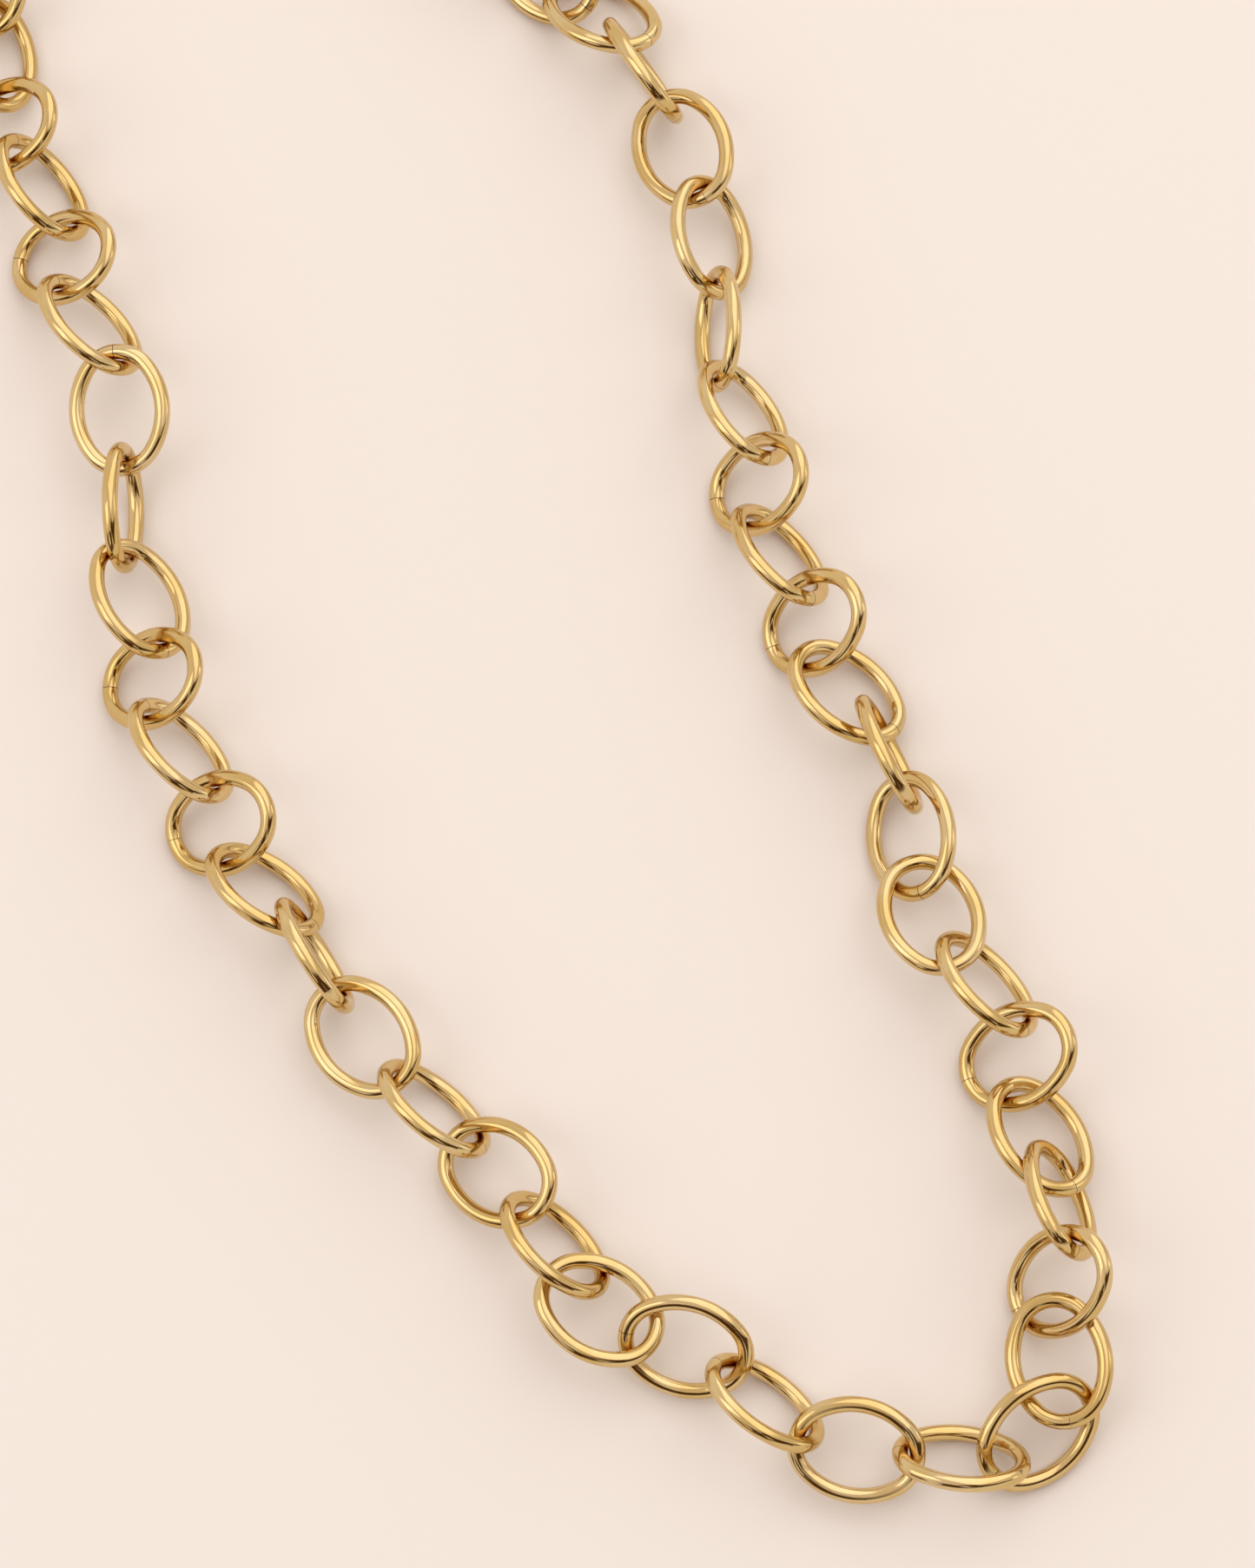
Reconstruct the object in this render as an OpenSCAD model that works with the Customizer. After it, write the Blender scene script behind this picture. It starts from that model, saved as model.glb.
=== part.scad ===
// Chain necklace of round-wire oval links, lying loosely on a table with its clasp undone.
// Millimetres, +Z up, the table at z = 0 and the middle of the outline over the origin.

/* [Links] */
// length of a link over its wire
link_l = 12.8; // [9:0.1:16]
// width of a link over its wire
link_w = 10; // [7:0.1:13]
// diameter of the link wire
wire_d = 1.5; // [1:0.1:2]
// open gap of the butt seam at one narrow end
seam = 0.06; // [0.02:0.01:0.2]

/* [Jump ring] */
// outside diameter of the ring
ring_od = 7; // [6:0.1:9]
// diameter of the ring wire
ring_wire = 1; // [0.8:0.1:1.2]

/* [Clasp] */
// thickness of the clasp body
clasp_t = 3.6; // [3:0.1:4.5]
// outside radius of the hook
hook_r = 4.2; // [3.6:0.1:5]
// width of the hook's band
band = 1.7; // [1.4:0.1:2]
// distance from the tail eye to the middle of the hook
clasp_l = 8.5; // [8:0.1:10]
// radius of the hole in the tail eye
eye_hole = 1.35; // [1.2:0.05:1.5]
// diameter of the rivet that the lever turns on
pin_d = 1; // [0.8:0.1:1.2]

/* [Hidden] */
// How each link lies, from the left end of the chain to the right one: middle x, middle y,
// heading of its long axis away from the seam, lean of that axis above the table, roll about it,
// and how far it starts above the table where it lies over a neighbour.
lie = [
    [-66, 97, -85, 0, 30, 0],
    [-64, 89, -80, 0, -35, 0],
    [-63, 81, -80, 0, 30, 0],
    [-62, 73, -80, 0, -40, 0],
    [-60.5, 65, 0, 35, 0, 0],
    [-57.5, 61, -58, 0, -50, 0],
    [-54.5, 52.5, -10, 35, 0, 0],
    [-51, 44.5, -50, 0, -48, 0],
    [-49, 35.5, -85, -10, 12, 2],
    [-47.7, 25.7, -90, 0, -78, 0],
    [-47, 17.2, 115, 0, 34, 1.5],
    [-45.2, 8.5, 0, 40, 0, 0],
    [-42, 1.5, -50, 0, -50, 0],
    [-38.5, -5, 10, 35, 10, 0],
    [-33, -12, 142, 0, 45, 0],
    [-30, -18, -60, 5, -76, 0],
    [-25, -25, -50, 5, 12, 1.5],
    [-18.5, -32, 138, 0, 55, 0],
    [-11.5, -37.5, -30, 20, 20, 0],
    [-6, -45.5, 133, 0, 50, 0],
    [-3, -51.5, -30, -5, -8, 2],
    [5, -53.5, -15, 0, 30, 0],
    [12.5, -60, -38, 0, -50, 0],
    [21, -64, -10, 0, 20, 1.5],
    [31, -64.5, -5, 0, -50, 0],
    [38, -62.3, 40, 5, 30, 0],
    [39, -55.5, 100, 0, -12, 2],
    [40, -48.5, 30, 45, -10, 0],
    [39.5, -41, 100, -24, 55, 0],
    [39, -34.5, 120, -5, 28, 1],
    [36.5, -27.5, 20, 35, 0, 0],
    [33, -21, 125, -10, 50, 0],
    [29.5, -13.5, 110, -12, 5, 1.5],
    [27, -5, 100, -6, -38, 0],
    [23.5, 2, 113, -8, 75, 0],
    [21, 8, 140, 4, 28, 0],
    [17.5, 15, 20, 44, 0, 0],
    [14.5, 21.5, 120, -14, 48, 0],
    [12.5, 28.5, 5, 46, 0, 0],
    [11, 34.5, 112, -16, 45, 0],
    [8.7, 43.5, 93, -8, -70, 0],
    [8.5, 54.5, 97, 0, 40, 0],
    [5.5, 63, 113, -6, -18, 1],
    [1, 71, 122, -6, 75, 0],
    [-2.5, 77, 142, -16, 28, 0],
    [-8, 82, 135, 0, -30, 0],
    [-14, 87, 135, 0, 35, 0],
    [-20, 93, 130, 0, -30, 0],
    [-25, 99, 130, 0, 35, 0],
    [-30, 105, 130, 0, -25, 0]
];
count = len(lie);
// the plan is for links whose length and width come to plan_size, and grows with the links
plan_size = 22.8;
plan_scale = (link_l + link_w) / plan_size;

// A link is four arcs that meet along the long side of a 3-4-5 triangle.
run = 0.6;
rise = 0.8;
meet = atan2(rise, run);
half_l = (link_l - wire_d) / 2;
half_w = (link_w - wire_d) / 2;
oval_k = (half_l - half_w) / (run + rise - 1);
end_r = half_w - (1 - rise) * oval_k;
side_r = end_r + oval_k;
end_c = run * oval_k;
side_c = rise * oval_k;

// Laying rule: links keep the way they lie and are nudged apart, neighbour from neighbour,
// until every wire is clear of the next by the gap, never lower than the table.
gap = 0.1;
spare = 0.01;
step = 15;
fine = 0.4;
rounds = 60;
none = [0, 0, 0];

function rim(t) = abs(cos(t)) > run
    ? [sign(cos(t)) * end_c + end_r * cos(t), end_r * sin(t)]
    : [side_r * cos(t), side_r * sin(t) - sign(sin(t)) * side_c];
function along(l) = [cos(l[2]) * cos(l[3]), sin(l[2]) * cos(l[3]), sin(l[3])];
function across(l) = cos(l[4]) * [-sin(l[2]), cos(l[2]), 0]
    + sin(l[4]) * [-sin(l[3]) * cos(l[2]), -sin(l[3]) * sin(l[2]), cos(l[3])];
u = [for (l = lie) along(l)];
w = [for (l = lie) across(l)];
function wire_at(i, t) = let (p = rim(t)) u[i] * p[0] + w[i] * p[1];
// how far link i reaches from its middle along one axis of the room
function reach(i, axis) = let (a = abs(u[i][axis]), b = abs(w[i][axis]), m = norm([a, b]))
    wire_d / 2 + (atan2(b, a) < meet ? end_r * m + end_c * a : side_r * m - side_c * b);
loops = [for (i = [0 : count - 1]) [for (t = [0 : step : 359]) wire_at(i, t)]];
// shortest way from the wire of link i to the wire of the next link, off = middle to middle
function sharpen(i, off, s, t, h) = h < fine ? wire_at(i + 1, t) - wire_at(i, s) + off :
    let (c = [for (a = [-h, 0, h], b = [-h, 0, h])
            [norm(wire_at(i + 1, t + b) - wire_at(i, s + a) + off), s + a, t + b]],
        k = search(min([for (e = c) e[0]]), [for (e = c) e[0]])[0])
    sharpen(i, off, c[k][1], c[k][2], h / 2);
function closest(i, off) = let (
    rows = [for (p = loops[i]) min([for (q = loops[i + 1]) norm(q - p + off)])],
    a = search(min(rows), rows)[0],
    row = [for (q = loops[i + 1]) norm(q - loops[i][a] + off)],
    b = search(min(row), row)[0])
    sharpen(i, off, a * step, b * step, step / 2);
function push(i, c) = let (v = closest(i, c[i + 1] - c[i]), d = norm(v))
    d < wire_d + gap ? v * ((wire_d + gap + spare - d) / 2 / d) : none;
function settle(c, k) = k == 0 ? c : let (p = [for (i = [0 : count - 2]) push(i, c)])
    max([for (v = p) norm(v)]) == 0 ? c :
    settle([for (i = [0 : count - 1])
        let (q = c[i] - (i < count - 1 ? p[i] : none) + (i > 0 ? p[i - 1] : none))
        [q[0], q[1], max(q[2], reach(i, 2))]], k - 1);
laid = settle([for (i = [0 : count - 1])
    [lie[i][0] * plan_scale, lie[i][1] * plan_scale, reach(i, 2) + lie[i][5]]], rounds);

// The jump ring hangs in the far end of the last link, turned across it.
last = laid[count - 1];
way = lie[count - 1][2];
ring_r = (ring_od - ring_wire) / 2;
ring_roll = 60;
ring_slack = 0.5;
ring_off = half_l + ring_r - (wire_d + ring_wire) / 2 - ring_slack;
ring_pos = [last[0] + ring_off * cos(way), last[1] + ring_off * sin(way),
    ring_r * sin(ring_roll) + ring_wire / 2];

// The clasp lies flat. Its tail eye is round the low far side of the ring.
eye_t = 1.1;
eye_r = 2.2;
eye_lift = 0.2;
eye_mid = clasp_t / 2 + eye_lift;
eye_z = eye_mid - eye_t / 2;
dip = asin((ring_pos[2] - eye_mid) / ring_r / sin(ring_roll));
eye_on = ring_r * cos(dip);
eye_off = -ring_r * sin(dip) * cos(ring_roll);
clasp_pos = [ring_pos[0] + eye_on * cos(way) - eye_off * sin(way),
    ring_pos[1] + eye_on * sin(way) + eye_off * cos(way)];
clasp_way = 120;

// Clasp body, along X from the tail eye to the hook: neck, rivet boss, hook and slot.
neck_x = 2.7;
neck_w = 3.1;
waist = 1.8;
pin_x = 4.6;
pin_y = 2;
boss_r = 1.9;
hook_end = 38;
cheek_end = 116;
back_way = 240;
slot_z = 0.9;
slot_t = clasp_t - 2 * slot_z;
slot_back = 1.6;
slot_low = 1.9;
far = 1.5 * hook_r;

// Lever: hub, arm, thumb nub, and a curved gate inside the hook.
lever_t = 1.6;
lever_z = slot_z + 0.1;
hub_r = 1.3;
hub_t = 0.85;
hub_gap = 0.2;
play = 0.08;
gate_from = 14;
gate_to = 150;
gate_w = 0.9;
gate_gap = 0.1;
gate_r = hook_r - band - gate_gap;
arm_high = [-1, 2.15];
arm_low = [-2, 0.6];
nub_r = 0.7;
nub_x = 6.2;
nub_y = 3.7;

coil_wire = 0.3;
coil_r = 0.8;
coil_step = 0.25;
leg_l = 1;
leg_wire = 0.27;

// The whole necklace is shifted so that the middle of its outline is over the origin.
x_low = min([for (i = [0 : count - 1]) laid[i][0] - reach(i, 0)]);
x_high = max([for (i = [0 : count - 1]) laid[i][0] + reach(i, 0)]);
y_low = min([for (i = [0 : count - 1]) laid[i][1] - reach(i, 1)]);
y_high = clasp_pos[1] + clasp_l * sin(clasp_way) + hook_r;
mid = [-(x_low + x_high) / 2, -(y_low + y_high) / 2, 0];

// One link: oval loop of round wire in its own plane, long axis along X, seam at -X.
module torus(radius, wire) rotate_extrude($fn = 96) translate([radius, 0]) circle(d = wire, $fn = 24);
module wedge(x, y) linear_extrude(2 * wire_d, center = true)
    polygon([[0, 0], [x, y] * 2 * link_l, [x, -y] * 2 * link_l]);
module end_bend() translate([end_c, 0, 0]) intersection() { torus(end_r, wire_d); wedge(run, rise); }
module side_bend() translate([0, -side_c, 0])
    intersection() { torus(side_r, wire_d); rotate([0, 0, 90]) wedge(rise, run); }
module link() color("gold") difference() {
    union() {
        end_bend();
        mirror([1, 0, 0]) end_bend();
        side_bend();
        mirror([0, 1, 0]) side_bend();
    }
    translate([-2 * end_r, -seam / 2, -wire_d]) cube([end_r, seam, 2 * wire_d]);
}
module laid_link(i) translate(mid + laid[i]) rotate([lie[i][4], -lie[i][3], lie[i][2]]) link();

// Round ring that joins the last link to the clasp, with its own butt seam.
module jump_ring() color("gold") translate(mid + ring_pos) rotate([ring_roll, 0, way]) difference() {
    torus(ring_r, ring_wire);
    translate([-seam / 2, 0, -ring_wire]) cube([seam, ring_od, 2 * ring_wire]);
}

module on_clasp() translate(mid + [clasp_pos[0], clasp_pos[1], 0]) rotate([0, 0, clasp_way]) children();
module disc(x, y, r) translate([x, y]) circle(r, $fn = 96);
module sector(from, to, r) polygon([[0, 0], for (a = [from : (to - from) / 4 : to + 0.1]) [r * cos(a), r * sin(a)]]);
module band_arc(from, to, out, in) translate([clasp_l, 0]) intersection() {
    difference() { circle(out, $fn = 96); circle(in, $fn = 96); }
    sector(from, to, far);
}

// Cast body: tail eye, neck, two cheeks with the lever's slot between them, and the hook.
module clasp_body() color("goldenrod") on_clasp() {
    difference() {
        union() {
            translate([0, 0, eye_z]) linear_extrude(eye_t) {
                disc(0, 0, eye_r);
                translate([0, -neck_w / 2]) square([pin_x - 1, neck_w]);
            }
            linear_extrude(clasp_t) difference() {
                union() {
                    disc(clasp_l, 0, hook_r);
                    disc(pin_x, pin_y, boss_r);
                    polygon([[neck_x, -waist], [clasp_l + hook_r * cos(back_way), hook_r * sin(back_way)],
                        [clasp_l, 0], [pin_x, pin_y + boss_r], [neck_x, eye_r]]);
                }
                disc(clasp_l, 0, hook_r - band);
                translate([clasp_l, 0]) sector(hook_end, cheek_end, far);
            }
        }
        translate([0, 0, -1]) cylinder(r = eye_hole, h = clasp_t + 2, $fn = 96);
        translate([0, 0, slot_z]) linear_extrude(slot_t) {
            disc(pin_x, pin_y, hub_r + hub_gap);
            polygon([[pin_x - hub_r - hub_gap, pin_y], [pin_x - hub_r - hub_gap, far], [clasp_l, far],
                [clasp_l, 0], [clasp_l - slot_back, -slot_low], [pin_x, pin_y - hub_r - hub_gap]]);
        }
        translate([pin_x, pin_y, -1]) cylinder(d = pin_d, h = clasp_t + 2, $fn = 48);
    }
}

// Hinged gate: hub on the rivet, curved arm that closes the hook from inside, and a thumb nub.
module clasp_lever() color("gold") on_clasp() difference() {
    union() {
        translate([pin_x, pin_y, lever_z]) cylinder(r = hub_r, h = hub_t, $fn = 96);
        translate([0, 0, lever_z]) linear_extrude(lever_t) difference() {
            union() {
                band_arc(gate_from, gate_to, gate_r, gate_r - gate_w);
                polygon([[pin_x, pin_y + hub_r], [nub_x - nub_r, nub_y], [nub_x + nub_r, nub_y],
                    arm_high + [clasp_l, 0], arm_low + [clasp_l, 0], [pin_x, pin_y - hub_r]]);
                disc(nub_x, nub_y, nub_r);
            }
            disc(pin_x, pin_y, hub_r);
        }
        translate([pin_x, pin_y - hub_r / 2, lever_z]) cube([nub_x - pin_x, hub_r, hub_t]);
    }
    translate([pin_x, pin_y, 0]) cylinder(d = pin_d + 2 * play, h = clasp_t, $fn = 48);
}

// Rivet through both cheeks.
module clasp_pin() color("gold") on_clasp() translate([pin_x, pin_y, 0]) cylinder(d = pin_d, h = clasp_t, $fn = 48);

// Coil spring on the rivet above the lever's hub, with one leg along the slot.
module clasp_spring() color("silver") on_clasp() translate([pin_x, pin_y, lever_z + hub_t + coil_wire / 2 + play]) {
    rotate_extrude($fn = 96) for (k = [0, 1]) translate([coil_r, k * coil_step]) circle(d = coil_wire, $fn = 24);
    translate([0, -coil_r, 0]) rotate([0, -90, 0]) cylinder(d = leg_wire, h = leg_l, $fn = 24);
}

function name(i) = str("link_", i < 9 ? "0" : "", i + 1);
for (i = [0 : count - 1]) laid_link(i);
jump_ring();
clasp_body();
clasp_lever();
clasp_pin();
clasp_spring();
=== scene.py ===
"""Chain necklace: polished gold-plated links on a pale floor, seen from nearly above."""

import math

import bpy
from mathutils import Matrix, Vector


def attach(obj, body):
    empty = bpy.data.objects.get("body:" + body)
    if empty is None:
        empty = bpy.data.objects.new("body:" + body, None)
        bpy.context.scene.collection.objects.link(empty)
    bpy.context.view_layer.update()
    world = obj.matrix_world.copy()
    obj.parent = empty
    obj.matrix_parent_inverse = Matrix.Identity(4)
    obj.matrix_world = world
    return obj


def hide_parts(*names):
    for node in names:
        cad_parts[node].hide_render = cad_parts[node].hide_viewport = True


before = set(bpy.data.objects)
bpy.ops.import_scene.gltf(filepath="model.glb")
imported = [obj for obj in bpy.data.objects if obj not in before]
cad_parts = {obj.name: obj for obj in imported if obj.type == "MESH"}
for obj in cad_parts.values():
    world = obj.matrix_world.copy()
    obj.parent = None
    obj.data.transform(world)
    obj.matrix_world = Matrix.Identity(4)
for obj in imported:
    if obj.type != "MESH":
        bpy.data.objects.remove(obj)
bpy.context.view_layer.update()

# The camera looks at this point of the table from this far, tilted from the vertical.
LOOK_AT = Vector((0.0129, -0.0278, 0.0))
CAMERA_DISTANCE = 0.52
CAMERA_TILT = math.radians(14)
LENS_MM = 156.8
SENSOR_MM = 36
CLIP_NEAR = 0.01
CLIP_FAR = 20

FLOOR_SIDE = 3.0
FLOOR_COLOUR = (0.955, 0.895, 0.853, 1)
FLOOR_ROUGHNESS = 0.7
FLOOR_SHEEN = 0.2

# Two soft lamps, aimed at the middle of the table: where, size, power and colour.
KEY = ((0.62, 0.53, 0.82), (2.0, 2.0), 9.4, (1, 0.97, 0.93))
FILL = ((-0.45, -0.1, 0.5), (0.3, 0.5), 0.48, (1, 0.98, 0.95))

# The room that the metal mirrors: brightness from the table's level up to overhead,
# and a broken dark band round the room that tips up towards the viewer and the right.
ROOM_LEVELS = (
    (0.0, (0.82, 0.75, 0.68, 1)),
    (0.35, (0.86, 0.81, 0.77, 1)),
    (0.7, (0.80, 0.73, 0.68, 1)),
    (1.0, (0.74, 0.66, 0.61, 1)),
)
ROOM_STRENGTH = 1.10
BAND_NORMAL = (-0.50, 0.60, 0.62)
BAND_CORE = 0.23
BAND_EDGE = 0.36
BAND_BREAKS = 2.2
BREAK_START = 0.58
BREAK_FULL = 0.68
BAND_COLOUR = (0.075, 0.032, 0.004, 1)

GOLD = (0.67, 0.475, 0.19)
GOLD_PALE = (0.73, 0.555, 0.29)
GOLD_DEEP = (0.59, 0.37, 0.09)
STEEL = (0.62, 0.61, 0.58)
STEEL_PALE = (0.70, 0.69, 0.66)
STEEL_DEEP = (0.50, 0.49, 0.46)
CAST_GRAIN = 0.8  # noise scale of the cast clasp against that of the drawn wire

# Noise layers of the plate: scale per metre, detail and roughness.
PATCHES = (260, 2.0, 0.5)
MARKS = (2400, 6.0, 0.65)
WAVES = (330, 2.0, 0.5)
SCRATCHES = (5200, 4.0, 0.7)
PATCH_LOW = 0.35
PATCH_HIGH = 0.65
OWN_TONE = 0.3
MARK_LOW = 0.35
MARK_HIGH = 0.75
GLOSS_BEST = 0.07
GLOSS_WORST = 0.2
WAVE_STRENGTH = 0.35
WAVE_DEPTH = 0.00012
SCRATCH_STRENGTH = 0.1
SCRATCH_DEPTH = 0.00001

# Painted shade where pieces nearly touch: how near, and from how shut in to how open.
PAINTED_SHADE_TINT = (0.72, 0.49, 0.22, 1)
CREVICE = 0.0011
SHUT_IN = 0.25
OPEN = 0.75
LOOKS = 6  # rays for each shading point, for the crevices and the rounded edges

# Edges of cast pieces: radius, and the turn of the surface at which plate wears paler.
CAST_EDGE = 0.00018
WORN_TURN = 0.80
FLAT_TURN = 0.98
WORN_MOST = 0.8

SHARP = math.radians(35)
SKIN_GRAIN = 0.00011
MELT_FACTOR = 0.5
MELT_STEPS = 20


def camera():
    data = bpy.data.cameras.new("camera")
    data.sensor_fit = "HORIZONTAL"
    data.sensor_width = SENSOR_MM
    data.lens = LENS_MM
    data.clip_start = CLIP_NEAR
    data.clip_end = CLIP_FAR
    data.dof.use_dof = False
    obj = bpy.data.objects.new("camera", data)
    back = Vector((0, -math.sin(CAMERA_TILT), math.cos(CAMERA_TILT)))
    obj.location = LOOK_AT + back * CAMERA_DISTANCE
    obj.rotation_euler = (CAMERA_TILT, 0, 0)
    bpy.context.collection.objects.link(obj)
    bpy.context.scene.camera = obj


def area_light(name, where, size, power, colour):
    data = bpy.data.lights.new(name, "AREA")
    data.shape = "RECTANGLE"
    data.size, data.size_y = size
    data.energy = power
    data.color = colour
    obj = bpy.data.objects.new(name, data)
    obj.location = where
    obj.rotation_euler = (-Vector(where)).to_track_quat("-Z", "Y").to_euler()
    bpy.context.collection.objects.link(obj)


def floor():
    mesh = bpy.data.meshes.new("floor")
    h = FLOOR_SIDE / 2
    mesh.from_pydata([(-h, -h, 0), (h, -h, 0), (h, h, 0), (-h, h, 0)], [], [(0, 1, 2, 3)])
    obj = bpy.data.objects.new("floor", mesh)
    bpy.context.collection.objects.link(obj)
    mat = bpy.data.materials.new("floor")
    mat.use_nodes = True
    shader = mat.node_tree.nodes["Principled BSDF"]
    shader.inputs["Base Color"].default_value = FLOOR_COLOUR
    shader.inputs["Roughness"].default_value = FLOOR_ROUGHNESS
    shader.inputs["Specular IOR Level"].default_value = FLOOR_SHEEN
    mesh.materials.append(mat)


def ramp(tree, source, stops):
    node = tree.nodes.new("ShaderNodeValToRGB")
    elements = node.color_ramp.elements
    elements[0].position, elements[0].color = stops[0]
    elements[1].position, elements[1].color = stops[-1]
    for position, colour in stops[1:-1]:
        elements.new(position).color = colour
    tree.links.new(source, node.inputs["Fac"])
    return node.outputs["Color"]


def remap(tree, source, low, high, to_low, to_high):
    node = tree.nodes.new("ShaderNodeMapRange")
    node.inputs["From Min"].default_value = low
    node.inputs["From Max"].default_value = high
    node.inputs["To Min"].default_value = to_low
    node.inputs["To Max"].default_value = to_high
    tree.links.new(source, node.inputs["Value"])
    return node.outputs["Result"]


def mix(tree, fac, a, b, blend="MIX"):
    """A colour mix of a and b, each a colour or a socket."""
    node = tree.nodes.new("ShaderNodeMix")
    node.data_type = "RGBA"
    node.blend_type = blend
    # a colour mix keeps its factor in input 0 and its colours in inputs 6 and 7 and output 2
    for socket, value in ((node.inputs[0], fac), (node.inputs[6], a), (node.inputs[7], b)):
        if isinstance(value, (tuple, float)):
            socket.default_value = value
        else:
            tree.links.new(value, socket)
    return node.outputs[2]


def dot(tree, a, b):
    """The dot product of a socket and a vector or a second socket."""
    node = tree.nodes.new("ShaderNodeVectorMath")
    node.operation = "DOT_PRODUCT"
    tree.links.new(a, node.inputs[0])
    if isinstance(b, tuple):
        node.inputs[1].default_value = b
    else:
        tree.links.new(b, node.inputs[1])
    return node.outputs["Value"]


def noise(tree, where, scale, detail, roughness=0.5):
    node = tree.nodes.new("ShaderNodeTexNoise")
    node.inputs["Scale"].default_value = scale
    node.inputs["Detail"].default_value = detail
    node.inputs["Roughness"].default_value = roughness
    tree.links.new(where, node.inputs["Vector"])
    return node.outputs["Fac"]


def room():
    world = bpy.data.worlds.new("room")
    world.use_nodes = True
    bpy.context.scene.world = world
    tree = world.node_tree
    background = tree.nodes["Background"]
    background.inputs["Strength"].default_value = ROOM_STRENGTH
    where = tree.nodes.new("ShaderNodeTexCoord").outputs["Generated"]
    parts = tree.nodes.new("ShaderNodeSeparateXYZ")
    tree.links.new(where, parts.inputs[0])
    levels = ramp(tree, parts.outputs["Z"], ROOM_LEVELS)
    away = tree.nodes.new("ShaderNodeMath")
    away.operation = "ABSOLUTE"
    tree.links.new(dot(tree, where, BAND_NORMAL), away.inputs[0])
    clear = remap(tree, away.outputs[0], BAND_CORE, BAND_EDGE, 0, 1)
    gaps = remap(tree, noise(tree, where, BAND_BREAKS, 1.0), BREAK_START, BREAK_FULL, 0, 1)
    seen = tree.nodes.new("ShaderNodeMath")
    seen.operation = "MAXIMUM"
    tree.links.new(clear, seen.inputs[0])
    tree.links.new(gaps, seen.inputs[1])
    colour = mix(tree, seen.outputs[0], BAND_COLOUR, levels)
    tree.links.new(colour, background.inputs["Color"])


def bump(tree, height, strength, depth, under=None):
    node = tree.nodes.new("ShaderNodeBump")
    node.inputs["Strength"].default_value = strength
    node.inputs["Distance"].default_value = depth
    tree.links.new(height, node.inputs["Height"])
    if under:
        tree.links.new(under, node.inputs["Normal"])
    return node.outputs["Normal"]


def plated(name, base, pale, deep, grain=1.0, edge=0.0):
    """Polished plate: soft tone patches, painted shade where wires cross, fine polishing
    marks and scratches, and on cast pieces a rounded, paler edge of the given radius."""
    mat = bpy.data.materials.new(name)
    mat.use_nodes = True
    tree = mat.node_tree
    shader = tree.nodes["Principled BSDF"]
    shader.inputs["Metallic"].default_value = 1.0
    where = tree.nodes.new("ShaderNodeTexCoord").outputs["Object"]

    def layer(kind):
        scale, detail, roughness = kind
        return noise(tree, where, scale * grain, detail, roughness)

    # tone: patches of paler and deeper plate, and a slightly different tone on each piece
    patches = ramp(tree, layer(PATCHES), ((PATCH_LOW, (*base, 1)), (PATCH_HIGH, (*pale, 1))))
    piece = tree.nodes.new("ShaderNodeObjectInfo")
    own = remap(tree, piece.outputs["Random"], 0, 1, 0, OWN_TONE)
    tone = mix(tree, own, patches, (*deep, 1))

    # painted shade: the tone is darkened where pieces nearly touch
    close = tree.nodes.new("ShaderNodeAmbientOcclusion")
    close.samples = LOOKS
    close.inputs["Distance"].default_value = CREVICE
    painted_shade_mask = remap(tree, close.outputs["AO"], SHUT_IN, OPEN, 1, 0)
    tone = mix(tree, painted_shade_mask, tone, mix(tree, 1.0, tone, PAINTED_SHADE_TINT, "MULTIPLY"))

    # cast pieces have rounded edges, rubbed paler
    edge_normal = None
    if edge:
        rounded = tree.nodes.new("ShaderNodeBevel")
        rounded.samples = LOOKS
        rounded.inputs["Radius"].default_value = edge
        edge_normal = rounded.outputs["Normal"]
        flat = tree.nodes.new("ShaderNodeNewGeometry").outputs["True Normal"]
        turn = dot(tree, edge_normal, flat)
        worn = remap(tree, turn, WORN_TURN, FLAT_TURN, WORN_MOST, 0)
        tone = mix(tree, worn, tone, (*pale, 1))
    tree.links.new(tone, shader.inputs["Base Color"])

    # gloss: nearly a mirror, duller in thin polishing marks
    gloss = remap(tree, layer(MARKS), MARK_LOW, MARK_HIGH, GLOSS_BEST, GLOSS_WORST)
    tree.links.new(gloss, shader.inputs["Roughness"])

    # surface: slow waves left by drawing and bending the wire, and fine scratches
    waves = bump(tree, layer(WAVES), WAVE_STRENGTH, WAVE_DEPTH, edge_normal)
    fine = bump(tree, layer(SCRATCHES), SCRATCH_STRENGTH, SCRATCH_DEPTH, waves)
    tree.links.new(fine, shader.inputs["Normal"])
    return mat


def dress(names, mat):
    for name in names:
        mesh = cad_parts[name].data
        mesh.materials.clear()
        mesh.materials.append(mat)
        mesh.shade_smooth()
        mesh.set_sharp_from_angle(angle=SHARP)


def eased(node, body, mat):
    """A copy of a cast CAD piece with its sharp edges melted round, which stands for it."""
    obj = bpy.data.objects.new(node + "_eased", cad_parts[node].data.copy())
    bpy.context.collection.objects.link(obj)
    obj.data.materials.clear()
    obj.data.materials.append(mat)
    skin = obj.modifiers.new("skin", "REMESH")
    skin.mode = "VOXEL"
    skin.voxel_size = SKIN_GRAIN
    skin.use_smooth_shade = True
    melt = obj.modifiers.new("melt", "SMOOTH")
    melt.factor = MELT_FACTOR
    melt.iterations = MELT_STEPS
    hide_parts(node)
    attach(obj, body)


camera()
floor()
room()
area_light("key", *KEY)
area_light("fill", *FILL)
chain = plated("chain_gold", GOLD, GOLD_PALE, GOLD_DEEP)
clasp = plated("clasp_gold", GOLD, GOLD_PALE, GOLD_DEEP, CAST_GRAIN, CAST_EDGE)
steel = plated("spring_steel", STEEL, STEEL_PALE, STEEL_DEEP)
wires = [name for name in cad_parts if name.startswith("link_") or name == "jump_ring"]
dress(wires, chain)
dress(["clasp_pin"], clasp)
eased("clasp_body", "clasp", clasp)
eased("clasp_lever", "lever", clasp)
dress(["clasp_spring"], steel)
bpy.context.scene.view_settings.view_transform = "Standard"
